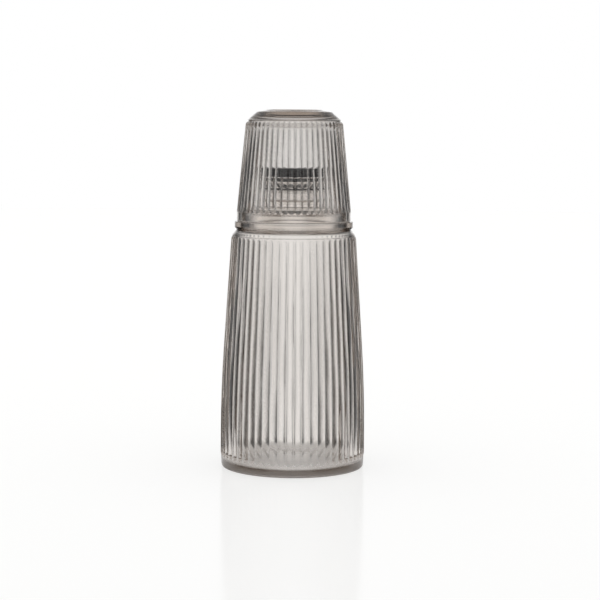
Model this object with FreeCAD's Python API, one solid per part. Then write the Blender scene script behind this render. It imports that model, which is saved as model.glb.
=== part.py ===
"""Bedside carafe of ribbed smoked glass, with its stopper and the tumbler that covers it.

Millimetres. +Z is up, and the origin is the centre of the base, on the table.
A piece that turns about Z is written as an outline of (radius, height, rounding) corners.
The carafe's glass is two solids, body and neck, that meet face to face on the plane of the ledge.
"""

import FreeCAD, Part
import math
import os

# Ribs, the same number on the carafe and on the tumbler
RIB_COUNT = 56
RIB_DEPTH = 0.85  # on the carafe, a crest above the valleys beside it
TUMBLER_RIB_DEPTH = 0.7
RIB_ROOT = 0.3  # the plain glass under the ribs lies this far inside the valleys
FRONT_VALLEY_DEG = 1.2  # the first valley, to the right of the front centre line
RIB_SECTIONS = 8  # rings of arcs that the carafe's ribs run through, from heel to shoulder

# Carafe, body
BODY_FOOT_R = 52.6  # over the crests, where the wall stands upright
BEND_Z = 56.0  # where the upright wall and the wall that leans in to the shoulder would meet
BEND_ROUND = 1000.0  # one long arc joins them
SHOULDER_R = 45.5  # over the crests, at the shoulder
SHOULDER_Z = 164.0
BODY_WALL = 3.6  # glass behind the valleys
BASE_THICKNESS = 4.0
INNER_HEEL_ROUND = 9.0
HEEL_STEP = 0.4  # the plain heel ring lies this far inside the crests
HEEL_HEIGHT = 7.0  # where the ribs end above the table
HEEL_TUCK = 0.6  # the heel draws in by this much
HEEL_TUCK_HEIGHT = 3.0
HEEL_ROUND = 6.0
BASE_EDGE_ROUND = 1.0
BASE_RING_WIDTH = 5.6  # the flat ring that the carafe stands on
PUSH_UP = 1.0  # the base is hollowed by this much inside the ring
PUSH_UP_SLOPE = 3.0

# Carafe, from the shoulder to the ledge that carries the tumbler
RIB_TOP_RISE = 4.5  # the ribs end this far above the shoulder corner
SHOULDER_TURN_IN = 0.8  # the plain shoulder starts this far inside the crests
SHOULDER_SLOPE_RISE = 1.8
SHOULDER_SLOPE_RUN = 1.0
SHOULDER_CAP_RISE = 2.3
SHOULDER_ROUND = 2.0
NECKLINE_HEIGHT = 1.1  # the groove between the shoulder and the ledge
NECKLINE_DEPTH = 1.25
LEDGE_THICKNESS = 5.3
LEDGE_PROJECTION = 1.65  # the ledge stands out past the tumbler's rim
LEDGE_LOWER_ROUND = 1.5
LEDGE_UPPER_ROUND = 0.5

# Carafe, centring collar, neck and mouth
COLLAR_CLEARANCE = 0.6  # between the collar and the inside of the tumbler's rim
COLLAR_HEIGHT = 9.6
COLLAR_ROUND = 3.0
COLLAR_WALL = 5.5
DECK_RISE = 1.6  # the deck climbs by this much from the collar to the neck
DECK_THICKNESS = 4.4
NECK_HEIGHT = 20.4
NECK_BORE_R = 16.9
NECK_WALL = 3.1
NECK_FOOT_ROUND = 5.0
NECK_INNER_ROUND = 2.4
MOUTH_ROUND = 0.6
INNER_SHOULDER_ROUND = 3.5
INNER_SHOULDER_DROP = 2.9  # the inside starts to close this far under the neckline
INNER_SHOULDER_SLOPE = 4.2  # and climbs by this much to the inside of the collar

# Tumbler, which stands upside down on the ledge
TUMBLER_RIM_R = 41.3
TUMBLER_WALL = 2.7
TUMBLER_HEIGHT = 80.4
TUMBLER_RIM_ROUND = 1.2
BAND_HEIGHT = 5.6  # the plain band over the rim
BAND_STEP = 0.2  # the crests stand this far outside the band
TUMBLER_TAPER = 0.0975  # the wall leans in by this share of its height
TUMBLER_RIB_END_DROP = 8.1  # the ribs end this far under the foot
TUMBLER_HEEL_R = 33.8
TUMBLER_HEEL_ROUND = 7.0
TUMBLER_BEVEL_R = 27.1
TUMBLER_BEVEL_DROP = 1.6
FOOT_RING_R = 19.4
FOOT_RING_WIDTH = 3.9
FOOT_RING_HEIGHT = 0.75  # the ring's outer side, from the foot down
FOOT_RING_FLARE = 2.1  # which widens by this much on the way
FOOT_RING_ROUND = 0.6
FOOT_DISH_DEPTH = 0.8
TUMBLER_BASE_THICKNESS = 7.2
TUMBLER_INNER_ROUND = 9.5

# Stopper
STOPPER_CAP_SETBACK = 0.1  # the cap's side lies this far inside the neck's
STOPPER_CAP_HEIGHT = 6.9
STOPPER_CAP_TOP = 2.4
STOPPER_CAP_SKIRT = 2.3
STOPPER_CAP_ROUND = 1.0
GRIP_LINE_WIDTH = 0.6
GRIP_LINE_DEPTH = 0.25
GRIP_LINE_HEIGHTS = (1.5, 4.7)  # above the cap's lower edge
PLUG_CLEARANCE = 1.5  # between the plug's sleeve and the neck
PLUG_DEPTH = 10.9  # how far the plug reaches into the neck
PLUG_WALL = 2.4
PLUG_FLANGE_THICKNESS = 1.8
PLUG_EDGE_ROUND = 0.5
SNAP_BEAD = 0.3  # the plug's flange clicks into the cap with this bead
SNAP_BEAD_HEIGHT = 0.8
GUIDE_RIB_DROP = 4.1  # a thin rib on the sleeve, under the mouth
GUIDE_RIB_HEIGHT = 0.7
GUIDE_RIB_CLEARANCE = 0.6
SEAL_CLEARANCE = 0.1  # the rings are drawn relaxed, just clear of the neck
SEAL_GROOVE_DEPTH = 0.9
SEAL_ROUND = 0.6
UPPER_SEAL_DROP = 0.9  # the upper ring's top edge, under the mouth
UPPER_SEAL_HEIGHT = 1.9
LOWER_SEAL_DROP = 7.0
LOWER_SEAL_HEIGHT = 1.9

CUT_PAST = 1.0  # a cutting shape runs this far past the surface that it opens

# Heights above the table
RIB_TOP_Z = SHOULDER_Z + RIB_TOP_RISE
NECKLINE_Z = RIB_TOP_Z + SHOULDER_SLOPE_RISE + SHOULDER_CAP_RISE
LEDGE_BOTTOM_Z = NECKLINE_Z + NECKLINE_HEIGHT
LEDGE_Z = LEDGE_BOTTOM_Z + LEDGE_THICKNESS
DECK_Z = LEDGE_Z + COLLAR_HEIGHT
MOUTH_Z = DECK_Z + DECK_RISE + NECK_HEIGHT
FOOT_Z = LEDGE_Z + TUMBLER_HEIGHT
BAND_TOP_Z = LEDGE_Z + BAND_HEIGHT
TUMBLER_RIB_END_Z = FOOT_Z - TUMBLER_RIB_END_DROP
CAP_TOP_Z = MOUTH_Z + STOPPER_CAP_HEIGHT
PLUG_END_Z = MOUTH_Z - PLUG_DEPTH

# Radii that follow from the pieces they fit
TUMBLER_MOUTH_R = TUMBLER_RIM_R - TUMBLER_WALL
LEDGE_R = TUMBLER_RIM_R + LEDGE_PROJECTION
NECKLINE_R = LEDGE_R - NECKLINE_DEPTH
COLLAR_R = TUMBLER_MOUTH_R - COLLAR_CLEARANCE
NECK_R = NECK_BORE_R + NECK_WALL
SLEEVE_R = NECK_BORE_R - PLUG_CLEARANCE
SEAL_R = NECK_BORE_R - SEAL_CLEARANCE
GROOVE_FLOOR_R = SLEEVE_R - SEAL_GROOVE_DEPTH
STOPPER_CAP_R = NECK_R - STOPPER_CAP_SETBACK
CAP_RECESS_R = STOPPER_CAP_R - STOPPER_CAP_SKIRT


def tangent_lengths(corners):
    """How far each corner's rounding reaches along its two sides, cut back where a side is too short."""
    count = len(corners)
    points = [FreeCAD.Vector(radius, 0, height) for radius, height, _ in corners]
    reach = []
    for k in range(count):
        before = (points[k - 1] - points[k]).normalize()
        after = (points[(k + 1) % count] - points[k]).normalize()
        half_turn = (math.pi - before.getAngle(after)) / 2
        reach.append(corners[k][2] * math.tan(half_turn))
    for k in range(count):
        following = (k + 1) % count
        side = (points[following] - points[k]).Length
        wanted = reach[k] + reach[following]
        if wanted > side:
            reach[k] *= side / wanted
            reach[following] *= side / wanted
    return points, reach


def turned(corners):
    """The solid that an outline of (radius, height, rounding) corners makes when it turns about Z."""
    points, reach = tangent_lengths(corners)
    count = len(points)
    edges = []
    for k in range(count):
        to_before = (points[k - 1] - points[k]).normalize()
        to_after = (points[(k + 1) % count] - points[k]).normalize()
        entry = points[k] + to_before * reach[k]
        leave = points[k] + to_after * reach[k]
        if reach[k] > 0:
            half = to_before.getAngle(to_after) / 2
            radius = reach[k] * math.tan(half)
            inwards = (to_before + to_after).normalize()
            middle = points[k] + inwards * (radius / math.sin(half) - radius)
            edges.append(Part.Arc(entry, middle, leave).toShape())
        following = points[(k + 1) % count]
        next_entry = following - to_after * reach[(k + 1) % count]
        if (next_entry - leave).Length > Part.Precision.confusion():
            edges.append(Part.LineSegment(leave, next_entry).toShape())
    face = Part.Face(Part.Wire(Part.__sortEdges__(edges)))
    return face.revolve(FreeCAD.Vector(0, 0, 0), FreeCAD.Vector(0, 0, 1), 360)


def rib_ring(crest_r, depth, height):
    """A closed ring of convex arcs at one height, one arc for each rib."""
    pitch = 2 * math.pi / RIB_COUNT
    first = math.radians(FRONT_VALLEY_DEG) - math.pi / 2
    valley_r = crest_r - depth
    valleys = []
    crests = []
    for rib in range(RIB_COUNT):
        angle = first + rib * pitch
        valleys.append(FreeCAD.Vector(valley_r * math.cos(angle), valley_r * math.sin(angle), height))
        angle += pitch / 2
        crests.append(FreeCAD.Vector(crest_r * math.cos(angle), crest_r * math.sin(angle), height))
    arcs = []
    for rib in range(RIB_COUNT):
        arcs.append(Part.Arc(valleys[rib], crests[rib], valleys[(rib + 1) % RIB_COUNT]).toShape())
    return Part.Wire(arcs)


def wall_lean():
    """How far the body's upper wall leans in from upright, in radians."""
    return math.atan2(BODY_FOOT_R - SHOULDER_R, SHOULDER_Z - BEND_Z)


def crest_radius(height):
    """The body's radius over the crests at a height: upright, then the long arc, then straight."""
    lean = wall_lean()
    above = height - BEND_Z + BEND_ROUND * math.tan(lean / 2)
    if above <= 0:
        return BODY_FOOT_R
    if above < BEND_ROUND * math.sin(lean):
        return BODY_FOOT_R - BEND_ROUND + math.sqrt(BEND_ROUND * BEND_ROUND - above * above)
    return BODY_FOOT_R - (height - BEND_Z) * math.tan(lean)


def bend_corner(inset):
    """The corner whose rounding is the body's long arc, moved inwards by an inset."""
    return (BODY_FOOT_R - inset, BEND_Z - inset * math.tan(wall_lean() / 2), BEND_ROUND - inset)


def carafe_plain_outside():
    """Heel, the glass under the ribs, shoulder and ledge, without the ribs."""
    heel_r = BODY_FOOT_R - HEEL_STEP
    base_r = heel_r - HEEL_TUCK
    root = RIB_DEPTH + RIB_ROOT
    dish_r = base_r - BASE_RING_WIDTH
    shoulder_r = SHOULDER_R - SHOULDER_TURN_IN
    slope_r = shoulder_r - SHOULDER_SLOPE_RUN
    return turned([
        (0, PUSH_UP, 0),
        (dish_r - PUSH_UP_SLOPE, PUSH_UP, PUSH_UP_SLOPE),
        (dish_r, 0, 0),
        (base_r, 0, BASE_EDGE_ROUND),
        (heel_r, HEEL_TUCK_HEIGHT, HEEL_ROUND),
        (heel_r, HEEL_HEIGHT + RIB_DEPTH, 0),
        (BODY_FOOT_R - root, HEEL_HEIGHT + 2 * RIB_DEPTH, 0),
        bend_corner(root),
        (SHOULDER_R - root, SHOULDER_Z, 0),
        (shoulder_r, RIB_TOP_Z - RIB_DEPTH, 0),
        (shoulder_r, RIB_TOP_Z + RIB_DEPTH / 2, 0),
        (slope_r, RIB_TOP_Z + SHOULDER_SLOPE_RISE, SHOULDER_ROUND),
        (NECKLINE_R, NECKLINE_Z, 0),
        (NECKLINE_R, LEDGE_BOTTOM_Z, 0),
        (LEDGE_R, LEDGE_BOTTOM_Z, LEDGE_LOWER_ROUND),
        (LEDGE_R, LEDGE_Z, LEDGE_UPPER_ROUND),
        (0, LEDGE_Z, 0),
    ])


def carafe_ribs():
    """The ribbed wall of the body, cut at 45 degrees at its lower and upper ends."""
    low = HEEL_HEIGHT - 2 * RIB_DEPTH
    high = RIB_TOP_Z + 2 * RIB_DEPTH
    rings = []
    for section in range(RIB_SECTIONS):
        height = low + (high - low) * section / (RIB_SECTIONS - 1)
        rings.append(rib_ring(crest_radius(height), RIB_DEPTH, height))
    ribbed = Part.makeLoft(rings, True, True)
    heel_r = BODY_FOOT_R - HEEL_STEP
    shoulder_r = SHOULDER_R - SHOULDER_TURN_IN
    clear_r = max(heel_r, shoulder_r) + 2 * RIB_DEPTH
    envelope = turned([
        (0, HEEL_HEIGHT - RIB_DEPTH, 0),
        (heel_r - RIB_DEPTH, HEEL_HEIGHT - RIB_DEPTH, 0),
        (clear_r, HEEL_HEIGHT + clear_r - heel_r, 0),
        (clear_r, RIB_TOP_Z - clear_r + shoulder_r, 0),
        (shoulder_r - RIB_DEPTH, RIB_TOP_Z + RIB_DEPTH, 0),
        (0, RIB_TOP_Z + RIB_DEPTH, 0),
    ])
    return ribbed.common(envelope)


def carafe_inside():
    """The hollow of the carafe: body, inner shoulder, collar and neck, open at the mouth."""
    wall = RIB_DEPTH + BODY_WALL
    collar_inner_r = COLLAR_R - COLLAR_WALL
    close_z = NECKLINE_Z - INNER_SHOULDER_DROP
    deck_under_z = DECK_Z - DECK_THICKNESS + DECK_RISE
    above_mouth = MOUTH_Z + CUT_PAST
    return turned([
        (0, BASE_THICKNESS, 0),
        (BODY_FOOT_R - wall, BASE_THICKNESS, INNER_HEEL_ROUND),
        bend_corner(wall),
        (crest_radius(close_z) - wall, close_z, INNER_SHOULDER_ROUND),
        (collar_inner_r, close_z + INNER_SHOULDER_SLOPE, INNER_SHOULDER_ROUND),
        (collar_inner_r, deck_under_z, COLLAR_ROUND),
        (NECK_BORE_R, deck_under_z + DECK_RISE, NECK_INNER_ROUND),
        (NECK_BORE_R, above_mouth, 0),
        (0, above_mouth, 0),
    ])


def carafe():
    """The carafe up to the ledge that carries the tumbler."""
    outside = carafe_plain_outside().fuse(carafe_ribs())
    hollow = outside.cut(carafe_inside())
    return hollow.removeSplitter()


def carafe_neck():
    """The centring collar, the deck, the neck and the mouth, in one glass with the body below."""
    outside = turned([
        (0, LEDGE_Z, 0),
        (COLLAR_R, LEDGE_Z, 0),
        (COLLAR_R, DECK_Z, COLLAR_ROUND),
        (NECK_R, DECK_Z + DECK_RISE, NECK_FOOT_ROUND),
        (NECK_R, MOUTH_Z, MOUTH_ROUND),
        (0, MOUTH_Z, 0),
    ])
    return outside.cut(carafe_inside())


def tumbler_crest_radius(height):
    """The tumbler's radius over the crests at a height."""
    return TUMBLER_RIM_R + BAND_STEP - TUMBLER_TAPER * (height - BAND_TOP_Z)


def tumbler_plain_outside():
    """Rim, plain band, the glass under the ribs, and the foot, without the ribs."""
    root = TUMBLER_RIB_DEPTH + RIB_ROOT
    ring_inner_r = FOOT_RING_R - FOOT_RING_WIDTH
    rib_foot_z = BAND_TOP_Z + TUMBLER_RIB_DEPTH
    return turned([
        (0, LEDGE_Z, 0),
        (TUMBLER_RIM_R, LEDGE_Z, TUMBLER_RIM_ROUND),
        (TUMBLER_RIM_R, BAND_TOP_Z, 0),
        (tumbler_crest_radius(rib_foot_z) - root, rib_foot_z, 0),
        (TUMBLER_HEEL_R, TUMBLER_RIB_END_Z - TUMBLER_RIB_DEPTH, 0),
        (TUMBLER_HEEL_R, TUMBLER_RIB_END_Z + RIB_ROOT, 0),
        (TUMBLER_BEVEL_R, FOOT_Z - TUMBLER_BEVEL_DROP, FOOT_RING_ROUND),
        (FOOT_RING_R + FOOT_RING_FLARE, FOOT_Z - FOOT_RING_HEIGHT, FOOT_RING_ROUND),
        (FOOT_RING_R, FOOT_Z, FOOT_RING_ROUND),
        (ring_inner_r, FOOT_Z, FOOT_RING_ROUND),
        (ring_inner_r - FOOT_DISH_DEPTH, FOOT_Z - FOOT_DISH_DEPTH, FOOT_RING_ROUND),
        (0, FOOT_Z - FOOT_DISH_DEPTH, 0),
    ])


def tumbler_ribs():
    """The tumbler's ribbed wall, cut at 45 degrees at the band and rounded in at the foot."""
    low = BAND_TOP_Z - 2 * TUMBLER_RIB_DEPTH
    high = TUMBLER_RIB_END_Z + TUMBLER_RIB_DEPTH
    rings = []
    for height in (low, high):
        rings.append(rib_ring(tumbler_crest_radius(height), TUMBLER_RIB_DEPTH, height))
    ribbed = Part.makeLoft(rings, True, True)
    clear = 2 * TUMBLER_RIB_DEPTH
    corner_z = TUMBLER_RIB_END_Z - clear
    envelope = turned([
        (0, BAND_TOP_Z - TUMBLER_RIB_DEPTH, 0),
        (TUMBLER_RIM_R - TUMBLER_RIB_DEPTH, BAND_TOP_Z - TUMBLER_RIB_DEPTH, 0),
        (TUMBLER_RIM_R + clear, BAND_TOP_Z + clear, 0),
        (tumbler_crest_radius(corner_z), corner_z, TUMBLER_HEEL_ROUND),
        (TUMBLER_HEEL_R, TUMBLER_RIB_END_Z, 0),
        (0, TUMBLER_RIB_END_Z, 0),
    ])
    return ribbed.common(envelope)


def tumbler_inside():
    """The hollow of the tumbler, open at the rim below."""
    floor_z = FOOT_Z - TUMBLER_BASE_THICKNESS
    below_rim = LEDGE_Z - CUT_PAST
    floor_r = tumbler_crest_radius(floor_z) - TUMBLER_RIB_DEPTH - TUMBLER_WALL
    return turned([
        (0, below_rim, 0),
        (TUMBLER_MOUTH_R, below_rim, 0),
        (TUMBLER_MOUTH_R, DECK_Z - COLLAR_ROUND, 0),
        (floor_r, floor_z, TUMBLER_INNER_ROUND),
        (0, floor_z, 0),
    ])


def tumbler():
    outside = tumbler_plain_outside().fuse(tumbler_ribs())
    hollow = outside.cut(tumbler_inside())
    return hollow.removeSplitter()


def snap_bead():
    """The three corners of the bead, on the plug's flange and in the cap's recess alike."""
    middle = MOUTH_Z + PLUG_FLANGE_THICKNESS / 2
    return [
        (CAP_RECESS_R, middle - SNAP_BEAD_HEIGHT / 2, 0),
        (CAP_RECESS_R + SNAP_BEAD, middle, 0),
        (CAP_RECESS_R, middle + SNAP_BEAD_HEIGHT / 2, 0),
    ]


def stopper_cap():
    """A moulded disc with a recess below for the plug's flange, and two fine grip lines."""
    outside = turned([
        (0, MOUTH_Z, 0),
        (STOPPER_CAP_R, MOUTH_Z, STOPPER_CAP_ROUND / 2),
        (STOPPER_CAP_R, CAP_TOP_Z, STOPPER_CAP_ROUND),
        (0, CAP_TOP_Z, 0),
    ])
    under_top = CAP_TOP_Z - STOPPER_CAP_TOP
    recess = turned([
        (0, MOUTH_Z - CUT_PAST, 0),
        (CAP_RECESS_R, MOUTH_Z - CUT_PAST, 0),
        *snap_bead(),
        (CAP_RECESS_R, under_top, 0),
        (0, under_top, 0),
    ])
    cap = outside.cut(recess)
    for above_edge in GRIP_LINE_HEIGHTS:
        middle = MOUTH_Z + above_edge
        cap = cap.cut(turned([
            (STOPPER_CAP_R - GRIP_LINE_DEPTH, middle, 0),
            (STOPPER_CAP_R + GRIP_LINE_DEPTH, middle - GRIP_LINE_WIDTH, 0),
            (STOPPER_CAP_R + GRIP_LINE_DEPTH, middle + GRIP_LINE_WIDTH, 0),
        ]))
    return cap


def seal_groove(drop, height):
    """The groove around the plug's sleeve that holds one seal ring."""
    top = MOUTH_Z - drop
    return turned([
        (GROOVE_FLOOR_R, top - height, 0),
        (NECK_BORE_R, top - height, 0),
        (NECK_BORE_R, top, 0),
        (GROOVE_FLOOR_R, top, 0),
    ])


def stopper_plug():
    """A sleeve closed at the top, with a flange that clicks into the cap, two grooves and a guide rib."""
    under_cap = CAP_TOP_Z - STOPPER_CAP_TOP
    guide_top = MOUTH_Z - GUIDE_RIB_DROP
    guide_r = NECK_BORE_R - GUIDE_RIB_CLEARANCE
    outside = turned([
        (0, PLUG_END_Z, 0),
        (SLEEVE_R, PLUG_END_Z, PLUG_EDGE_ROUND),
        (SLEEVE_R, guide_top - GUIDE_RIB_HEIGHT, 0),
        (guide_r, guide_top - GUIDE_RIB_HEIGHT, 0),
        (guide_r, guide_top, 0),
        (SLEEVE_R, guide_top, 0),
        (SLEEVE_R, MOUTH_Z, 0),
        (CAP_RECESS_R, MOUTH_Z, 0),
        *snap_bead(),
        (CAP_RECESS_R, MOUTH_Z + PLUG_FLANGE_THICKNESS, 0),
        (SLEEVE_R, MOUTH_Z + PLUG_FLANGE_THICKNESS, 0),
        (SLEEVE_R, under_cap, PLUG_EDGE_ROUND),
        (0, under_cap, 0),
    ])
    bore_r = SLEEVE_R - PLUG_WALL
    hollow_top = under_cap - PLUG_WALL
    hollow = turned([
        (0, PLUG_END_Z - CUT_PAST, 0),
        (bore_r, PLUG_END_Z - CUT_PAST, 0),
        (bore_r, hollow_top, PLUG_EDGE_ROUND),
        (0, hollow_top, 0),
    ])
    plug = outside.cut(hollow)
    plug = plug.cut(seal_groove(UPPER_SEAL_DROP, UPPER_SEAL_HEIGHT))
    plug = plug.cut(seal_groove(LOWER_SEAL_DROP, LOWER_SEAL_HEIGHT))
    return plug


def seal_ring(drop, height):
    """A soft ring that fills its groove and stands out to the neck, rounded on the outside."""
    top = MOUTH_Z - drop
    return turned([
        (GROOVE_FLOOR_R, top - height, 0),
        (SEAL_R, top - height, SEAL_ROUND),
        (SEAL_R, top, SEAL_ROUND),
        (GROOVE_FLOOR_R, top, 0),
    ])


os.makedirs("parts", exist_ok=True)
pieces = {
    "carafe": carafe(),
    "carafe_neck": carafe_neck(),
    "tumbler": tumbler(),
    "stopper_cap": stopper_cap(),
    "stopper_plug": stopper_plug(),
    "upper_seal_ring": seal_ring(UPPER_SEAL_DROP, UPPER_SEAL_HEIGHT),
    "lower_seal_ring": seal_ring(LOWER_SEAL_DROP, LOWER_SEAL_HEIGHT),
}
for name, shape in pieces.items():
    solid = shape.Solids[0]
    solid.exportStep("parts/" + name + ".step")
    print(name, round(solid.Volume), "mm3,", "valid" if solid.isValid() else "not valid")
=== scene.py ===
"""A bedside carafe of ribbed smoked glass, with its stopper and the tumbler that covers it.

Sizes are in millimetres, but for the camera's place and the table's sizes, which are in metres like
the meshes. +Z is up, the base stands on the table at the origin, and -Y is the front. Each section
makes or keeps one real piece, and fixes each piece it makes to the body it moves with.
"""

import math

import bpy
import numpy as np
from mathutils import Matrix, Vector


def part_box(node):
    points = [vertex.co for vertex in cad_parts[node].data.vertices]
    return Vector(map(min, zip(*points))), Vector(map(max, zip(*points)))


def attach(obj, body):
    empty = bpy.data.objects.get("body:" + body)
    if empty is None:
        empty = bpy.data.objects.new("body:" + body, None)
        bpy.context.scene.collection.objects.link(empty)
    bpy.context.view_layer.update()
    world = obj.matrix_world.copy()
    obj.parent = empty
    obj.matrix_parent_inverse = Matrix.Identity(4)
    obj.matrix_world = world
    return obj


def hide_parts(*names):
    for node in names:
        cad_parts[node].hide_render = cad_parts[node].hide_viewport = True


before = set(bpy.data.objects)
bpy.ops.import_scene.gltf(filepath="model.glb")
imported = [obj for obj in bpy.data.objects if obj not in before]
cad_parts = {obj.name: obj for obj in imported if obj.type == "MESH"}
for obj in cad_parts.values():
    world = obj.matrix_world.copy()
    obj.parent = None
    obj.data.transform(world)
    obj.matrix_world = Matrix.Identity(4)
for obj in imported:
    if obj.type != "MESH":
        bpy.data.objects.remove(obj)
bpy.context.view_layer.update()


# ---------------------------------------------------------------------------------------------
# Camera: a long lens a little over a metre away, with its eye level near the top of the tumbler,
# tipped down to the middle of the carafe. It stands and is rolled a hair to one side.
EYE_HEIGHT = 0.248
EYE_DISTANCE = 1.269
EYE_RIGHT = 0.0049
TIP_DOWN_DEG = 5.69
ROLL_DEG = 0.4
LENS_MM = 105.0
SENSOR_MM = 36.0

camera_data = bpy.data.cameras.new("camera")
camera_data.lens = LENS_MM
camera_data.sensor_width = SENSOR_MM
camera = bpy.data.objects.new("camera", camera_data)
bpy.context.collection.objects.link(camera)
tipped = Matrix.Rotation(math.radians(90.0 - TIP_DOWN_DEG), 4, "X")
rolled = Matrix.Rotation(math.radians(ROLL_DEG), 4, "Z")
camera.matrix_world = Matrix.Translation((EYE_RIGHT, -EYE_DISTANCE, EYE_HEIGHT)) @ tipped @ rolled
bpy.context.scene.camera = camera


# ---------------------------------------------------------------------------------------------
# Carafe: one piece of smoke-grey soda-lime glass, pressed and blown in a ribbed mould and fire
# polished. 56 convex reeds run from the heel ring to the shoulder. A ledge carries the tumbler,
# and the collar inside it centres the tumbler around the neck.
MM = 0.001
_, body_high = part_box("carafe")
_, neck_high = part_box("carafe_neck")

# The wall, by the radius over the crests of its ribs
BODY_FOOT_R = body_high[0] / MM
BEND_Z = 56.0  # upright below, leaning in above
BEND_ROUND = 1000.0
SHOULDER_R = 45.5
SHOULDER_Z = 164.0
BODY_WALL = 3.6  # from valleys of the full depth to the inside

# The ribs
RIB_COUNT = 56
RIB_DEPTH = 0.85
RIB_POWER = 2.7  # flatter crests and steeper flanks than a round reed's 2
RIB_FADE = 0.3  # the ribs lose this much depth from RIB_FADE_Z up to SHOULDER_Z
RIB_FADE_Z = 90.0
RIB_TOP_Z = 168.5
FIRST_VALLEY_DEG = 1.2  # from the front, towards +X
VALLEY_SOFTNESS = 0.07  # of half a rib: the polished valley's radius is about a quarter of a millimetre
PLAIN_SINK = 1.0  # the plain wall dives this far under the ribs
RIB_MARGIN = 0.3  # of plain wall that the ribbed rows take in past each end of the ribs
RIB_END_ROWS = 10
RIB_ROWS = 11
COLUMNS_PER_RIB = 13
COLUMN_CROWDING = 0.55

# The base: a flat ring around a shallow hollow, and a plain heel
POLE_R = 0.5  # a profile stops this far from the axis, and a fan of faces closes it
PUSH_UP = 1.0
HOLLOW_R = 43.0
HOLLOW_ROUND = 3.0
RING_INNER_R = 46.0
RING_OUTER_R = 51.6
RING_ROUND = 1.0
STIPPLED_R = 51.5
HEEL_STEP = 0.4  # from the crests in to the plain heel
HEEL_TUCK_Z = 3.0
HEEL_ROUND = 6.0
HEEL_HEIGHT = 7.0

# The shoulder, the neckline and the ledge
SHOULDER_TURN_IN = 0.8
SHOULDER_EDGE_R = 43.7
SHOULDER_EDGE_Z = 170.3
SHOULDER_ROUND = 2.0
NECKLINE_R = 41.7
NECKLINE_Z = 172.6
NECKLINE_ROUND = 0.4
LEDGE_R = 42.95
LEDGE_BOTTOM_Z = 173.7
LEDGE_Z = body_high[2] / MM
LEDGE_LOWER_ROUND = 1.5
LEDGE_UPPER_ROUND = 0.5

# The collar, the deck over it, and the neck
COLLAR_R = 38.0
COLLAR_FOOT_ROUND = 0.3
COLLAR_ROUND = 3.0
DECK_Z = 188.6
DECK_RISE = 1.6
NECK_BORE_R = 16.9
NECK_WALL = 3.1
NECK_R = NECK_BORE_R + NECK_WALL
NECK_FOOT_ROUND = 5.0
MOUTH_Z = neck_high[2] / MM
MOUTH_ROUND = 0.6

# The inside, from the neck down to the floor
NECK_FLARE_ROUND = 2.4
DECK_UNDER_Z = 185.8
COLLAR_INNER_R = 32.5
COLLAR_INNER_ROUND = 3.0
COLLAR_INNER_LOW_Z = 173.9
INNER_SHOULDER_R = 40.75
INNER_SHOULDER_Z = 169.7
INNER_SHOULDER_ROUND = 3.5
INSIDE_TOP_R = 41.3
INSIDE_TOP_Z = 161.0
INSIDE_HIGH_Z = 160.0
INSIDE_LOW_Z = 15.0
INSIDE_ROWS = 18
FLOOR_TOP_Z = 14.9
FLOOR_ROUND = 8.8
FLOOR_Z = 4.0
# Each wave's count around, its drift in radians per millimetre of height, and its amount
WAVES = ((9, 0.033, 0.13), (14, -0.057, 0.11), (22, 0.093, 0.09), (33, -0.129, 0.06))
WAVE_FADE = 15.0

# The skin of the glass
POLISHED_ROUGHNESS = 0.015
STIPPLED_ROUGHNESS = 0.5
RIPPLE_WIDTH = 3.0
BODY_RIPPLE_DEPTH = 0.012


def outline(corners, step, turn_step_deg=14.0):
    """Points along a profile of (radius, height, rounding) corners.

    Each corner is replaced by an arc of its rounding that touches both its sides, cut into equal
    turns, and the straight between two arcs is cut into equal lengths of at most one step.
    """
    points = [np.array(corner[:2], dtype=float) for corner in corners]
    track = [points[0]]
    for k in range(1, len(points)):
        entry = points[k]
        arc = []
        if k < len(points) - 1 and corners[k][2] > 0:
            before = points[k - 1] - points[k]
            after = points[k + 1] - points[k]
            before = before / np.linalg.norm(before)
            after = after / np.linalg.norm(after)
            half = math.acos(float(np.clip(before @ after, -1.0, 1.0))) / 2
            reach = corners[k][2] / math.tan(half)
            inwards = (before + after) / np.linalg.norm(before + after)
            centre = points[k] + inwards * corners[k][2] / math.sin(half)
            entry = points[k] + before * reach
            leave = points[k] + after * reach
            cuts = max(2, math.ceil((math.pi - 2 * half) / math.radians(turn_step_deg)))
            share = np.linspace(0, 1, cuts + 1)[1:, None]
            chord = entry - centre + (leave - entry) * share
            arc = centre + corners[k][2] * chord / np.linalg.norm(chord, axis=1)[:, None]
        run = np.linalg.norm(entry - track[-1])
        cuts = max(1, math.ceil(run / step))
        share = np.linspace(0, 1, cuts + 1)[1:, None]
        if run > 1e-6:
            track.extend(track[-1] + (entry - track[-1]) * share)
        track.extend(arc)
    return np.array(track)


def body_crest_radius(height):
    """Radius over the crests: upright, then one long arc, then straight in to the shoulder."""
    lean = math.atan2(BODY_FOOT_R - SHOULDER_R, SHOULDER_Z - BEND_Z)
    start = BEND_Z - BEND_ROUND * math.tan(lean / 2)
    above = np.maximum(0.0, height - start)
    on_arc = BODY_FOOT_R - BEND_ROUND + np.sqrt(BEND_ROUND ** 2 - above ** 2)
    on_line = BODY_FOOT_R - (height - BEND_Z) * math.tan(lean)
    return np.where(above < BEND_ROUND * math.sin(lean), on_arc, on_line)


def around_ribs(per_rib):
    """Angles around the axis, the same number in each rib, set closer together towards the valleys.

    Within a rib, the even share of the way across it is shifted back by the crowding times the sine
    of that share of a whole turn, over two pi.
    """
    share = np.linspace(0, 1, per_rib, endpoint=False)
    share = share - COLUMN_CROWDING * np.sin(2 * math.pi * share) / (2 * math.pi)
    rib = np.arange(RIB_COUNT)[:, None] + share[None, :]
    return math.radians(FIRST_VALLEY_DEG - 90.0) + 2 * math.pi * rib.ravel() / RIB_COUNT


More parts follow.
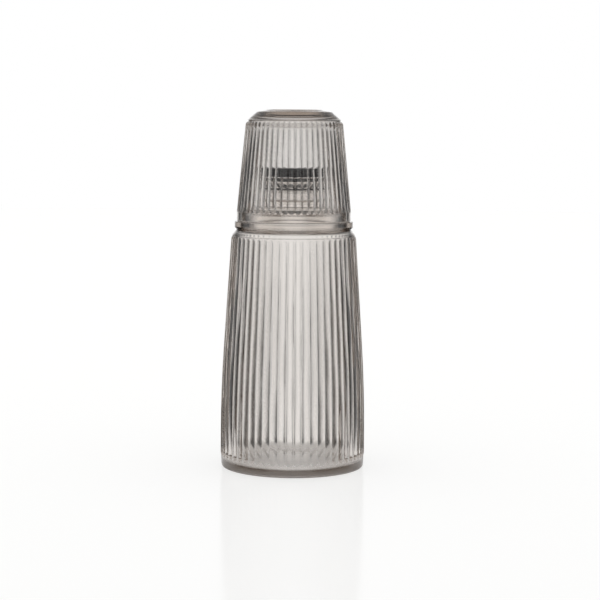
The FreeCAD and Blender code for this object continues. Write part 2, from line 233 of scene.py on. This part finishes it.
def ribbed_rows(low_end, high_end, half_width, middle_rows):
    """Heights of a ribbed wall's rows: close together over the round rib ends, and spread between."""
    low = low_end + half_width
    high = high_end - half_width
    return np.concatenate([
        np.linspace(low_end - RIB_MARGIN, low, RIB_END_ROWS),
        np.linspace(low, high, middle_rows)[1:-1],
        np.linspace(high, high_end + RIB_MARGIN, RIB_END_ROWS),
    ])


def reeds(angle, height, low_end, high_end, half_width, depth):
    """How far the reeds stand out of their valleys, over a grid of heights (rows) and angles.

    Across a rib that is the depth times one less a power of the distance from the spine in half
    widths, with a softened valley. Past the ends that distance is taken from the centre of a
    half-round, so that each rib ends in a round tip.
    """
    turn = (angle - math.radians(FIRST_VALLEY_DEG - 90.0)) * RIB_COUNT / (2 * math.pi)
    across = 2 * np.abs(turn % 1.0 - 0.5)
    past = np.maximum(low_end + half_width - height, height - high_end + half_width)
    past = np.maximum(0.0, past / half_width)
    spine = np.sqrt(across[None, :] ** 2 + past[:, None] ** 2)
    inside = np.maximum(0.0, 1.0 - spine)
    soft = np.sqrt(inside ** 2 + VALLEY_SOFTNESS ** 2) - VALLEY_SOFTNESS
    return depth * (1 - (1 - np.minimum(soft, 1.0)) ** RIB_POWER)


def ribbed_wall(angle, height, low_end, high_end, half_width, valley_r, depth, plain_r):
    """Radii of a ribbed wall, over a grid of heights (rows) and angles.

    They are the valley's radius plus the reeds, or the plain wall's where that is larger. The plain
    wall shows past and around the rib ends. It dives in by PLAIN_SINK over the last PLAIN_SINK of
    height before the rib ends stop being round, and stays there between the ends.
    """
    ribs = reeds(angle, height, low_end, high_end, half_width, depth[:, None])
    along = np.minimum(height - (low_end + half_width), high_end - half_width - height)
    plain_r = plain_r - np.clip(along + PLAIN_SINK, 0.0, PLAIN_SINK)
    return np.maximum(valley_r[:, None] + ribs, plain_r[:, None])


def waviness(angle, height, low, high):
    """Unevenness of a blown inside wall in millimetres: a few slow waves around that drift with height.

    Each wave is its amount times the cosine of its count times the angle, plus its drift times the
    height, plus its count as a start of its own. All of them fade to nothing over WAVE_FADE towards
    the low and the high end.
    """
    total = np.zeros((len(height), len(angle)))
    for count, drift, amount in WAVES:
        total += amount * np.cos(count * angle[None, :] + drift * height[:, None] + count)
    fade = np.clip(np.minimum(height - low, high - height) / WAVE_FADE, 0.0, 1.0)
    return total * fade[:, None]


def glass_mesh(name, radius, height, angle, stippled_rows=0):
    """A closed skin around Z from a grid of radii (rows along the profile, columns around) and heights.

    A point is its radius times (cos, sin) of its angle, at its row's height, and each end of the
    profile is closed by one point at the axis with a fan around it. The faces point out of the piece
    where the first end faces down, or where it faces up and the angles run backwards. The attribute
    "stipple" is 1 on the first stippled rows and 0 on the rest.
    """
    rows, columns = radius.shape
    x = radius * np.cos(angle)[None, :] * MM
    y = radius * np.sin(angle)[None, :] * MM
    z = np.repeat(height[:, None], columns, axis=1) * MM
    ring = np.stack([x, y, z], axis=2).reshape(-1, 3)
    poles = np.array([[0, 0, height[0] * MM], [0, 0, height[-1] * MM]])
    first_pole = len(ring)
    here = np.arange(columns)
    beside = (here + 1) % columns
    low = (np.arange(rows - 1) * columns)[:, None]
    quads = np.stack([low + here, low + beside, low + columns + beside, low + columns + here], axis=2)
    quads = quads.reshape(-1, 4)
    last = (rows - 1) * columns
    fans = np.concatenate([
        np.stack([np.full(columns, first_pole), beside, here], axis=1),
        np.stack([np.full(columns, first_pole + 1), last + here, last + beside], axis=1),
    ])
    mesh = bpy.data.meshes.new(name)
    mesh.vertices.add(len(ring) + 2)
    mesh.vertices.foreach_set("co", np.concatenate([ring, poles]).ravel())
    mesh.loops.add(quads.size + fans.size)
    mesh.loops.foreach_set("vertex_index", np.concatenate([quads.ravel(), fans.ravel()]))
    mesh.polygons.add(len(quads) + len(fans))
    starts = np.concatenate([np.arange(len(quads)) * 4, quads.size + np.arange(len(fans)) * 3])
    mesh.polygons.foreach_set("loop_start", starts)
    mesh.update(calc_edges=True)
    mesh.validate()
    mesh.shade_smooth()
    stipple = mesh.attributes.new("stipple", "FLOAT", "POINT")
    row = np.concatenate([np.repeat(np.arange(rows), columns), [0, rows]])
    stipple.data.foreach_set("value", (row < stippled_rows).astype(np.float32))
    piece = bpy.data.objects.new(name, mesh)
    bpy.context.collection.objects.link(piece)
    return piece


def carafe_skin():
    """The carafe's radii, heights, angles and number of stippled rows.

    The profile runs from the hollow under the base out over the heel and up the ribbed wall, over
    the shoulder, the ledge, the collar and the mouth, and down the inside to the floor.
    """
    angle = around_ribs(COLUMNS_PER_RIB)
    half_rib = math.pi * BODY_FOOT_R / RIB_COUNT
    heel_r = BODY_FOOT_R - HEEL_STEP
    base = outline([
        (POLE_R, PUSH_UP, 0),
        (HOLLOW_R, PUSH_UP, HOLLOW_ROUND),
        (RING_INNER_R, 0.0, RING_ROUND),
        (RING_OUTER_R, 0.0, RING_ROUND),
        (heel_r, HEEL_TUCK_Z, HEEL_ROUND),
        (heel_r, HEEL_HEIGHT - 2 * RIB_MARGIN, 0),
    ], step=12.0)

    wall_z = ribbed_rows(HEEL_HEIGHT, RIB_TOP_Z, half_rib, RIB_ROWS)
    crest_r = body_crest_radius(wall_z)
    depth = RIB_DEPTH - RIB_FADE * np.clip((wall_z - RIB_FADE_Z) / (SHOULDER_Z - RIB_FADE_Z), 0.0, 1.0)
    plain_r = crest_r - np.where(wall_z < HEEL_HEIGHT + half_rib, HEEL_STEP, SHOULDER_TURN_IN)
    wall_r = ribbed_wall(
        angle, wall_z, HEEL_HEIGHT, RIB_TOP_Z, half_rib, crest_r - depth, depth, plain_r,
    )

    top = outline([
        (SHOULDER_R - SHOULDER_TURN_IN, RIB_TOP_Z + 2 * RIB_MARGIN, 0),
        (SHOULDER_EDGE_R, SHOULDER_EDGE_Z, SHOULDER_ROUND),
        (NECKLINE_R, NECKLINE_Z, NECKLINE_ROUND),
        (NECKLINE_R, LEDGE_BOTTOM_Z, NECKLINE_ROUND),
        (LEDGE_R, LEDGE_BOTTOM_Z, LEDGE_LOWER_ROUND),
        (LEDGE_R, LEDGE_Z, LEDGE_UPPER_ROUND),
        (COLLAR_R, LEDGE_Z, COLLAR_FOOT_ROUND),
        (COLLAR_R, DECK_Z, COLLAR_ROUND),
        (NECK_R, DECK_Z + DECK_RISE, NECK_FOOT_ROUND),
        (NECK_R, MOUTH_Z, MOUTH_ROUND),
        (NECK_BORE_R, MOUTH_Z, MOUTH_ROUND),
        (NECK_BORE_R, DECK_UNDER_Z + DECK_RISE, NECK_FLARE_ROUND),
        (COLLAR_INNER_R, DECK_UNDER_Z, COLLAR_INNER_ROUND),
        (COLLAR_INNER_R, COLLAR_INNER_LOW_Z, INNER_SHOULDER_ROUND),
        (INNER_SHOULDER_R, INNER_SHOULDER_Z, INNER_SHOULDER_ROUND),
        (INSIDE_TOP_R, INSIDE_TOP_Z, 0),
    ], step=12.0, turn_step_deg=30.0)

    thickness = RIB_DEPTH + BODY_WALL
    inside_z = np.linspace(INSIDE_HIGH_Z, INSIDE_LOW_Z, INSIDE_ROWS)
    inside_r = (body_crest_radius(inside_z) - thickness)[:, None]
    inside_r = inside_r + waviness(angle, inside_z, INSIDE_LOW_Z, INSIDE_HIGH_Z)
    floor = outline([
        (BODY_FOOT_R - thickness, FLOOR_TOP_Z, 0),
        (BODY_FOOT_R - thickness, FLOOR_Z, FLOOR_ROUND),
        (POLE_R, FLOOR_Z, 0),
    ], step=20.0)

    around = np.ones(len(angle))
    radius = np.concatenate([
        base[:, :1] * around, wall_r, top[:, :1] * around, inside_r, floor[:, :1] * around,
    ])
    height = np.concatenate([base[:, 1], wall_z, top[:, 1], inside_z, floor[:, 1]])
    return radius, height, angle, np.count_nonzero(base[:, 0] < STIPPLED_R)


def linear(hex_colour):
    """An sRGB hex colour as linear red, green, blue and alpha, by the curve of the sRGB standard."""
    srgb = np.array([int(hex_colour[k:k + 2], 16) / 255 for k in (1, 3, 5)])
    low = srgb / 12.92
    high = ((srgb + 0.055) / 1.055) ** 2.4
    return (*np.where(srgb <= 0.04045, low, high), 1.0)


def add_node(tree, kind, settings=None, links=None):
    """Adds one node: settings are its properties or its sockets' values, links are sockets to join."""
    node = tree.nodes.new(kind)
    for name, value in (settings or {}).items():
        if isinstance(name, str) and hasattr(node, name):
            setattr(node, name, value)
        else:
            node.inputs[name].default_value = value
    for name, socket in (links or {}).items():
        tree.links.new(socket, node.inputs[name])
    return node


def new_material(name):
    """A node material, its node tree and the output node that is alone in it."""
    material = bpy.data.materials.new(name)
    material.use_nodes = True
    tree = material.node_tree
    tree.nodes.clear()
    return material, tree, tree.nodes.new("ShaderNodeOutputMaterial")


def smoked_glass(name, ripple_depth):
    """Smoke-grey pressed soda-lime glass: clear at the skin and grey through its depth.

    A slow ripple, drawn out ten times along the height as the mould leaves it, makes the refracted
    lines uneven. The stippled underside is rough, and scatters the light of the table.
    """
    material, tree, out = new_material(name)
    where = add_node(tree, "ShaderNodeTexCoord")
    drawn = add_node(
        tree, "ShaderNodeMapping", {"Scale": (1.0, 1.0, 0.1)}, {"Vector": where.outputs["Object"]},
    )
    ripple = add_node(
        tree, "ShaderNodeTexNoise",
        {"Scale": 1 / (RIPPLE_WIDTH * MM), "Detail": 1.5, "Roughness": 0.4},
        {"Vector": drawn.outputs["Vector"]},
    )
    skin = add_node(
        tree, "ShaderNodeBump",
        {"Strength": 1.0, "Distance": ripple_depth * MM},
        {"Height": ripple.outputs["Fac"]},
    )
    stipple = add_node(tree, "ShaderNodeAttribute", {"attribute_name": "stipple"})
    rough = add_node(
        tree, "ShaderNodeMapRange",
        {"To Min": POLISHED_ROUGHNESS, "To Max": STIPPLED_ROUGHNESS},
        {"Value": stipple.outputs["Fac"]},
    )
    glass = add_node(
        tree, "ShaderNodeBsdfPrincipled",
        {"Base Color": linear("#FBFAF9"), "IOR": 1.52, "Transmission Weight": 1.0},
        {"Roughness": rough.outputs["Result"], "Normal": skin.outputs["Normal"]},
    )
    smoke = add_node(
        tree, "ShaderNodeVolumeAbsorption",
        {"Color": linear("#C8BAAC"), "Density": 43.0},
    )
    tree.links.new(glass.outputs["BSDF"], out.inputs["Surface"])
    tree.links.new(smoke.outputs["Volume"], out.inputs["Volume"])
    return material


carafe = glass_mesh("carafe_glass", *carafe_skin())
carafe.data.materials.append(smoked_glass("smoked_glass_pressed_body", BODY_RIPPLE_DEPTH))
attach(carafe, "carafe_body")
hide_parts("carafe", "carafe_neck")


# ---------------------------------------------------------------------------------------------
# Tumbler: the same glass, pressed in a ribbed mould, standing upside down on the ledge. It has a
# plain band at the rim, ribs up to the shoulder of its heavy foot, and a shallow dish in the foot.
_, tumbler_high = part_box("tumbler")

# The band at the rim, and the ribbed cone
TUMBLER_RIM_R = 41.3
TUMBLER_RIM_ROUND = 1.2
TUMBLER_WALL = 2.7
RIM_GAP = 0.03  # between the rim and the ledge
BAND_TOP_Z = LEDGE_Z + 5.6
CREST_STEP = 0.2  # from the band out to the crests, and from the valleys out to the foot's plain wall
TUMBLER_TAPER = 0.0975
TUMBLER_RIB_DEPTH = 0.7
TUMBLER_RIB_ROWS = 9
TUMBLER_COLUMNS_PER_RIB = 16

# The foot: a dish inside a narrow ring, and a bevel out to the ribs
FOOT_Z = tumbler_high[2] / MM
DISH_Z = FOOT_Z - 0.8
DISH_R = 14.7
FOOT_RING_INNER_R = 15.5
FOOT_RING_R = 19.4
FOOT_RING_ROUND = 0.6
FOOT_STEP_R = 21.5
FOOT_STEP_Z = FOOT_Z - 0.75
FOOT_STEP_ROUND = 0.5
FOOT_BEVEL_R = 27.1
FOOT_BEVEL_Z = FOOT_Z - 1.6
FOOT_BEVEL_ROUND = 1.0
TUMBLER_RIB_END_Z = FOOT_Z - 8.1
TUMBLER_SHOULDER_R = 33.8
TUMBLER_SHOULDER_Z = TUMBLER_RIB_END_Z + 0.6
TUMBLER_SHOULDER_ROUND = 0.6
TUMBLER_SHOULDER_LOW_Z = TUMBLER_RIB_END_Z + 0.4
ROUND_IN_START = 2.8  # the crests round in from this far below the rib ends
ROUND_IN_SPAN = 6.0  # twice the radius of that rounding

# The inside
TUMBLER_MOUTH_TOP_Z = 185.6
TUMBLER_MOUTH_ROUND = 8.0
TUMBLER_FLOOR_Z = FOOT_Z - 7.2
TUMBLER_FLOOR_WALL = 3.4
TUMBLER_FLOOR_ROUND = 9.5
TUMBLER_WAVE_SHARE = 0.6  # of the carafe's waves
TUMBLER_WAVE_LOW_Z = 190.0
TUMBLER_WAVE_HIGH_Z = 240.0
TUMBLER_RIPPLE_DEPTH = 0.008


def tumbler_cone_radius(height):
    """Radius over the crests before they round in: a plain cone that narrows towards the foot."""
    return TUMBLER_RIM_R + CREST_STEP - TUMBLER_TAPER * (height - BAND_TOP_Z)


def tumbler_skin():
    """The tumbler's radii, heights and angles.

    The profile runs from the dish in the foot, on top, down the outside and up the inside. Because
    it starts with an end that faces up, the angles run backwards. Near the foot the crests are
    rounded in by the square of the way past the start over the span.
    """
    angle = around_ribs(TUMBLER_COLUMNS_PER_RIB)
    half_rib = math.pi * TUMBLER_RIM_R / RIB_COUNT
    foot = outline([
        (POLE_R, DISH_Z, 0),
        (DISH_R, DISH_Z, FOOT_RING_ROUND),
        (FOOT_RING_INNER_R, FOOT_Z, FOOT_RING_ROUND),
        (FOOT_RING_R, FOOT_Z, FOOT_RING_ROUND),
        (FOOT_STEP_R, FOOT_STEP_Z, FOOT_STEP_ROUND),
        (FOOT_BEVEL_R, FOOT_BEVEL_Z, FOOT_BEVEL_ROUND),
        (TUMBLER_SHOULDER_R, TUMBLER_SHOULDER_Z, TUMBLER_SHOULDER_ROUND),
        (TUMBLER_SHOULDER_R, TUMBLER_SHOULDER_LOW_Z, 0),
    ], step=12.0)

    wall_z = ribbed_rows(BAND_TOP_Z, TUMBLER_RIB_END_Z, half_rib, TUMBLER_RIB_ROWS)[::-1]
    over = np.maximum(0.0, wall_z - TUMBLER_RIB_END_Z + ROUND_IN_START)
    depth = np.full(len(wall_z), TUMBLER_RIB_DEPTH)
    valley_r = tumbler_cone_radius(wall_z) - over * over / ROUND_IN_SPAN - depth
    plain_r = np.where(wall_z < BAND_TOP_Z + half_rib, TUMBLER_RIM_R, valley_r + CREST_STEP)
    wall_r = ribbed_wall(
        angle, wall_z, BAND_TOP_Z, TUMBLER_RIB_END_Z, half_rib, valley_r, depth, plain_r,
    )

    rim_z = LEDGE_Z + RIM_GAP
    mouth_r = TUMBLER_RIM_R - TUMBLER_WALL
    inside = outline([
        (TUMBLER_RIM_R, BAND_TOP_Z - 2 * RIB_MARGIN, 0),
        (TUMBLER_RIM_R, rim_z, TUMBLER_RIM_ROUND),
        (mouth_r, rim_z, TUMBLER_RIM_ROUND),
        (mouth_r, TUMBLER_MOUTH_TOP_Z, TUMBLER_MOUTH_ROUND),
        (tumbler_cone_radius(TUMBLER_FLOOR_Z) - TUMBLER_FLOOR_WALL, TUMBLER_FLOOR_Z, TUMBLER_FLOOR_ROUND),
        (POLE_R, TUMBLER_FLOOR_Z, 0),
    ], step=6.0, turn_step_deg=10.0)
    waves = waviness(angle, inside[:, 1], TUMBLER_WAVE_LOW_Z, TUMBLER_WAVE_HIGH_Z)

    radius = np.concatenate([
        foot[:, :1] * np.ones(len(angle)), wall_r, inside[:, :1] + TUMBLER_WAVE_SHARE * waves,
    ])
    height = np.concatenate([foot[:, 1], wall_z, inside[:, 1]])
    return radius[:, ::-1], height, angle[::-1]


tumbler = glass_mesh("tumbler_glass", *tumbler_skin())
tumbler.data.materials.append(smoked_glass("smoked_glass_pressed_tumbler", TUMBLER_RIPPLE_DEPTH))
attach(tumbler, "tumbler_body")
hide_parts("tumbler")


# ---------------------------------------------------------------------------------------------
# Stopper cap: a black polypropylene moulding, a disc with a skirt, satin from the mould, with two
# fine grip lines around it. The clear plug clicks into the recess in its underside.
_, cap_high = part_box("stopper_cap")
CAP_R = cap_high[0] / MM
CAP_TOP_Z = cap_high[2] / MM
CAP_TOP_ROUND = 1.0
CAP_SKIRT_Z = MOUTH_Z + 0.7  # the plug's clear flange shows below the skirt
CAP_SKIRT_ROUND = 0.4
CAP_LIP_ROUND = 0.2
CAP_RECESS_R = 17.85
CAP_RECESS_ROUND = 0.4
CAP_CEILING_Z = CAP_TOP_Z - 2.4
GRIP_LINES_Z = (MOUTH_Z + 1.5, MOUTH_Z + 4.7)
GRIP_LINE_HALF_WIDTH = 0.3
GRIP_LINE_DEPTH = 0.25
CAP_COLUMNS = 192
MOULD_GRAIN = 0.6
MOULD_GRAIN_DEPTH = 0.02
MOULD_ROUGHNESS_SPREAD = 0.06


def cap_skin():
    """The cap's radii, heights and angles.

    The profile runs from the ceiling of the recess down, out under the skirt, up over a V for each
    grip line, and in over the top.
    """
    grip_lines = []
    for line_z in GRIP_LINES_Z:
        grip_lines += [
            (CAP_R, line_z - GRIP_LINE_HALF_WIDTH, 0),
            (CAP_R - GRIP_LINE_DEPTH, line_z, 0),
            (CAP_R, line_z + GRIP_LINE_HALF_WIDTH, 0),
        ]
    profile = outline([
        (POLE_R, CAP_CEILING_Z, 0),
        (CAP_RECESS_R, CAP_CEILING_Z, CAP_RECESS_ROUND),
        (CAP_RECESS_R, CAP_SKIRT_Z, CAP_LIP_ROUND),
        (CAP_R, CAP_SKIRT_Z, CAP_SKIRT_ROUND),
        *grip_lines,
        (CAP_R, CAP_TOP_Z, CAP_TOP_ROUND),
        (POLE_R, CAP_TOP_Z, 0),
    ], step=20.0)
    angle = np.linspace(0, 2 * math.pi, CAP_COLUMNS, endpoint=False)
    return profile[:, :1] * np.ones(CAP_COLUMNS), profile[:, 1], angle


def satin_moulding(name, base, roughness):
    """A dark moulding with a soft sheen from the fine grain of its spark-eroded mould.

    The real grain is too fine to show, so it is drawn as coarse as MOULD_GRAIN.
    """
    material, tree, out = new_material(name)
    where = add_node(tree, "ShaderNodeTexCoord")
    grain = add_node(
        tree, "ShaderNodeTexNoise",
        {"Scale": 1 / (MOULD_GRAIN * MM), "Detail": 2.0},
        {"Vector": where.outputs["Object"]},
    )
    bump = add_node(
        tree, "ShaderNodeBump",
        {"Strength": 0.3, "Distance": MOULD_GRAIN_DEPTH * MM},
        {"Height": grain.outputs["Fac"]},
    )
    shine = add_node(
        tree, "ShaderNodeMapRange",
        {"To Min": roughness - MOULD_ROUGHNESS_SPREAD, "To Max": roughness + MOULD_ROUGHNESS_SPREAD},
        {"Value": grain.outputs["Fac"]},
    )
    plastic = add_node(
        tree, "ShaderNodeBsdfPrincipled",
        {"Base Color": linear(base), "IOR": 1.49},
        {"Roughness": shine.outputs["Result"], "Normal": bump.outputs["Normal"]},
    )
    tree.links.new(plastic.outputs["BSDF"], out.inputs["Surface"])
    return material


cap = glass_mesh("cap", *cap_skin())
cap.data.materials.append(satin_moulding("polypropylene_black_satin", "#0B0A0A", 0.35))
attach(cap, "stopper_body")
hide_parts("stopper_cap")


# ---------------------------------------------------------------------------------------------
# Stopper plug: a clear SAN moulding, a sleeve closed at the top with a thin guide rib around it.
# The CAD node has the right shape and keeps it.
def clear_moulding(name):
    """Clear moulded plastic, polished by its mould, with the faintest tint."""
    material, tree, out = new_material(name)
    plastic = add_node(
        tree, "ShaderNodeBsdfPrincipled",
        {"Base Color": linear("#FAF9F8"), "Roughness": 0.02, "IOR": 1.45, "Transmission Weight": 1.0},
    )
    tree.links.new(plastic.outputs["BSDF"], out.inputs["Surface"])
    return material


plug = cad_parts["stopper_plug"]
plug.data.materials.clear()
plug.data.materials.append(clear_moulding("san_clear_moulded"))


# ---------------------------------------------------------------------------------------------
# Seal rings: moulded silicone, the upper one black and the lower one grey, each stretched into its
# groove in the plug. The upper one is the CAD node, and the lower one is not as high as its solid.
seal_low, seal_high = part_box("lower_seal_ring")
SEAL_R = seal_high[0] / MM
SEAL_BOTTOM_Z = seal_low[2] / MM + 0.05
SEAL_TOP_Z = SEAL_BOTTOM_Z + 1.5
SEAL_WIDTH = 2.2
SEAL_ROUND = 0.5
SEAL_TAPER = 0.1  # the section is thinner by this much above and below at its inner edge
SEAL_COLUMNS = 160

upper_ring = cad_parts["upper_seal_ring"]
upper_ring.data.materials.clear()
upper_ring.data.materials.append(satin_moulding("silicone_black_matte", "#080808", 0.5))


def turned_ring(name, profile):
    """A closed ring around Z whose section is the closed line of (radius, height) points.

    A point is its radius times (cos, sin) of its angle, at its height, and the last row of points
    joins the first.
    """
    angle = np.linspace(0, 2 * math.pi, SEAL_COLUMNS, endpoint=False)
    x = profile[:, :1] * np.cos(angle) * MM
    y = profile[:, :1] * np.sin(angle) * MM
    z = profile[:, 1:] * MM + 0 * x
    here = np.arange(SEAL_COLUMNS)
    beside = (here + 1) % SEAL_COLUMNS
    low = np.arange(len(profile))[:, None] * SEAL_COLUMNS
    high = (low + SEAL_COLUMNS) % (len(profile) * SEAL_COLUMNS)
    quads = np.stack([low + here, low + beside, high + beside, high + here], axis=2).reshape(-1, 4)
    mesh = bpy.data.meshes.new(name)
    mesh.from_pydata(np.stack([x, y, z], axis=2).reshape(-1, 3).tolist(), [], quads.tolist())
    mesh.shade_smooth()
    ring = bpy.data.objects.new(name, mesh)
    bpy.context.collection.objects.link(ring)
    return ring


lower_ring = turned_ring("lower_ring", outline([
    (SEAL_R - SEAL_WIDTH, SEAL_BOTTOM_Z + SEAL_TAPER, 0),
    (SEAL_R, SEAL_BOTTOM_Z, SEAL_ROUND),
    (SEAL_R, SEAL_TOP_Z, SEAL_ROUND),
    (SEAL_R - SEAL_WIDTH, SEAL_TOP_Z - SEAL_TAPER, 0),
], step=5.0))
lower_ring.data.materials.append(satin_moulding("silicone_grey_matte", "#434140", 0.5))
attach(lower_ring, "stopper_body")
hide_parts("lower_seal_ring")


# ---------------------------------------------------------------------------------------------
# Table and tent: a white lacquered table in a white tent that lights it, without lamps. Glass and
# gloss see both as white panels with grey stretches between them, because these draw the ribs.
PANELS = 4
PANEL_DARK = 0.05
PANEL_FADE_FROM = -0.6  # of the cosine around, from where a grey stretch turns into a panel
PANEL_FADE_TO = 0.65
GUIDED = 0.88  # the share of the panels' light that is left once it was turned back inside the glass
CEILING_LIGHT = 0.6
CEILING_FROM = 0.1  # of a direction's rise, from where the panels turn into the plain ceiling
CEILING_TO = 0.45
# Under the base the table's glow is plain and dimmed to this level: a painted shadow of the carafe, seen
# through its glass.
NEAR_SHADOW_LIGHT = 0.65
NEAR_FROM = 0.055  # the table is plain out to here, and shows the panels from NEAR_TO on
NEAR_TO = 0.075
TABLE_RADIUS = 4.0
TABLE_POINTS = 96
TABLE_PAINT = (0.3, 0.3, 0.3, 1)  # this colour and the next two are linear
TABLE_GLOSS = (0.12, 0.12, 0.12, 1)
TABLE_LIFT = (1, 1, 0.99, 1)


def panels(tree, x, y, plain, plain_light):
    """Brightness by direction around the object: white panels, with a grey stretch between each two.

    It is the cosine of the direction's angle times the number of panels, put through a smooth step.
    Light that went into the glass and was turned back in it is dimmed. Where plain is 1, the
    brightness is the plain light all round.
    """
    turn = add_node(tree, "ShaderNodeMath", {"operation": "ARCTAN2"}, {0: x, 1: y})
    turns = add_node(
        tree, "ShaderNodeMath",
        {"operation": "MULTIPLY", 1: float(PANELS)},
        {0: turn.outputs[0]},
    )
    wave = add_node(tree, "ShaderNodeMath", {"operation": "COSINE"}, {0: turns.outputs[0]})
    bright = add_node(
        tree, "ShaderNodeMapRange",
        {
            "interpolation_type": "SMOOTHSTEP",
            "From Min": PANEL_FADE_FROM, "From Max": PANEL_FADE_TO,
            "To Min": PANEL_DARK, "To Max": 1.0,
        },
        {"Value": wave.outputs[0]},
    )
    path = add_node(tree, "ShaderNodeLightPath")
    turned_back = add_node(
        tree, "ShaderNodeMath",
        {"operation": "MINIMUM", 1: 1.0},
        {0: path.outputs["Glossy Depth"]},
    )
    went_in = add_node(
        tree, "ShaderNodeMath",
        {"operation": "MINIMUM", 1: 1.0},
        {0: path.outputs["Transmission Depth"]},
    )
    guided = add_node(
        tree, "ShaderNodeMath",
        {"operation": "MULTIPLY"},
        {0: turned_back.outputs[0], 1: went_in.outputs[0]},
    )
    left = add_node(
        tree, "ShaderNodeMath",
        {"operation": "MULTIPLY_ADD", 1: GUIDED - 1, 2: 1.0},
        {0: guided.outputs[0]},
    )
    around = add_node(
        tree, "ShaderNodeMath",
        {"operation": "MULTIPLY"},
        {0: bright.outputs["Result"], 1: left.outputs[0]},
    )
    return add_node(
        tree, "ShaderNodeMix",
        {"data_type": "FLOAT", 3: plain_light},
        {0: plain, 2: around.outputs[0]},
    )


def make_table():
    """A round white table top: one face inside points spread evenly around a circle.

    To the camera it is white but for the object's shadow and faint reflection. To all else it glows
    with the panels, and under the base with a plain, dimmer glow that is a painted shadow of the carafe.
    """
    share = np.linspace(0, 2 * math.pi, TABLE_POINTS, endpoint=False)
    rim = np.stack([TABLE_RADIUS * np.cos(share), TABLE_RADIUS * np.sin(share), 0 * share], axis=1)
    mesh = bpy.data.meshes.new("table")
    mesh.from_pydata(rim.tolist(), [], [list(range(len(rim)))])
    table = bpy.data.objects.new("table", mesh)
    bpy.context.collection.objects.link(table)
    material, tree, out = new_material("table_white_lacquer")
    where = add_node(tree, "ShaderNodeTexCoord")
    axes = add_node(tree, "ShaderNodeSeparateXYZ", {}, {0: where.outputs["Object"]})
    reach = add_node(tree, "ShaderNodeVectorMath", {"operation": "LENGTH"}, {0: where.outputs["Object"]})
    # near is 1 under the base, where the glow is plain and dimmed as a painted shadow of the carafe.
    near = add_node(
        tree, "ShaderNodeMapRange",
        {
            "interpolation_type": "SMOOTHSTEP",
            "From Min": NEAR_FROM, "From Max": NEAR_TO,
            "To Min": 1.0, "To Max": 0.0,
        },
        {"Value": reach.outputs["Value"]},
    )
    seen = panels(tree, axes.outputs["X"], axes.outputs["Y"], near.outputs["Result"], NEAR_SHADOW_LIGHT)
    path = add_node(tree, "ShaderNodeLightPath")
    paint = add_node(tree, "ShaderNodeBsdfDiffuse", {"Color": TABLE_PAINT})
    gloss = add_node(tree, "ShaderNodeBsdfGlossy", {"Color": TABLE_GLOSS, "Roughness": 0.12})
    lift = add_node(tree, "ShaderNodeEmission", {"Color": TABLE_LIFT, "Strength": 0.62})
    lacquer = add_node(tree, "ShaderNodeAddShader", {}, {0: paint.outputs[0], 1: gloss.outputs[0]})
    to_camera = add_node(tree, "ShaderNodeAddShader", {}, {0: lacquer.outputs[0], 1: lift.outputs[0]})
    glow = add_node(tree, "ShaderNodeEmission", {"Strength": 1.0}, {"Color": seen.outputs[0]})
    mix = add_node(
        tree, "ShaderNodeMixShader", {},
        {0: path.outputs["Is Camera Ray"], 1: glow.outputs["Emission"], 2: to_camera.outputs[0]},
    )
    tree.links.new(mix.outputs[0], out.inputs["Surface"])
    mesh.materials.append(material)


def make_tent():
    """The world: plain white to the camera and to matt surfaces, and panels and a ceiling to the rest."""
    world = bpy.data.worlds.new("tent")
    bpy.context.scene.world = world
    world.use_nodes = True
    tree = world.node_tree
    tree.nodes.clear()
    out = add_node(tree, "ShaderNodeOutputWorld")
    where = add_node(tree, "ShaderNodeTexCoord")
    axes = add_node(tree, "ShaderNodeSeparateXYZ", {}, {0: where.outputs["Generated"]})
    ceiling = add_node(
        tree, "ShaderNodeMapRange",
        {"interpolation_type": "SMOOTHSTEP", "From Min": CEILING_FROM, "From Max": CEILING_TO},
        {"Value": axes.outputs["Z"]},
    )
    seen = panels(tree, axes.outputs["X"], axes.outputs["Y"], ceiling.outputs["Result"], CEILING_LIGHT)
    path = add_node(tree, "ShaderNodeLightPath")
    white = add_node(tree, "ShaderNodeBackground", {"Color": (1, 1, 1, 1), "Strength": 1.0})
    glow = add_node(tree, "ShaderNodeBackground", {"Strength": 1.0}, {"Color": seen.outputs[0]})
    plain = add_node(
        tree, "ShaderNodeMath",
        {"operation": "MAXIMUM"},
        {0: path.outputs["Is Camera Ray"], 1: path.outputs["Is Diffuse Ray"]},
    )
    mix = add_node(
        tree, "ShaderNodeMixShader", {},
        {0: plain.outputs[0], 1: glow.outputs["Background"], 2: white.outputs["Background"]},
    )
    tree.links.new(mix.outputs[0], out.inputs["Surface"])


make_table()
make_tent()
bpy.context.scene.view_settings.view_transform = "Standard"

# At the neck, light crosses a dozen faces of glass and clear plastic, and is turned back in some.
bpy.context.scene.cycles.max_bounces = 32
bpy.context.scene.cycles.transmission_bounces = 32
bpy.context.scene.cycles.glossy_bounces = 16
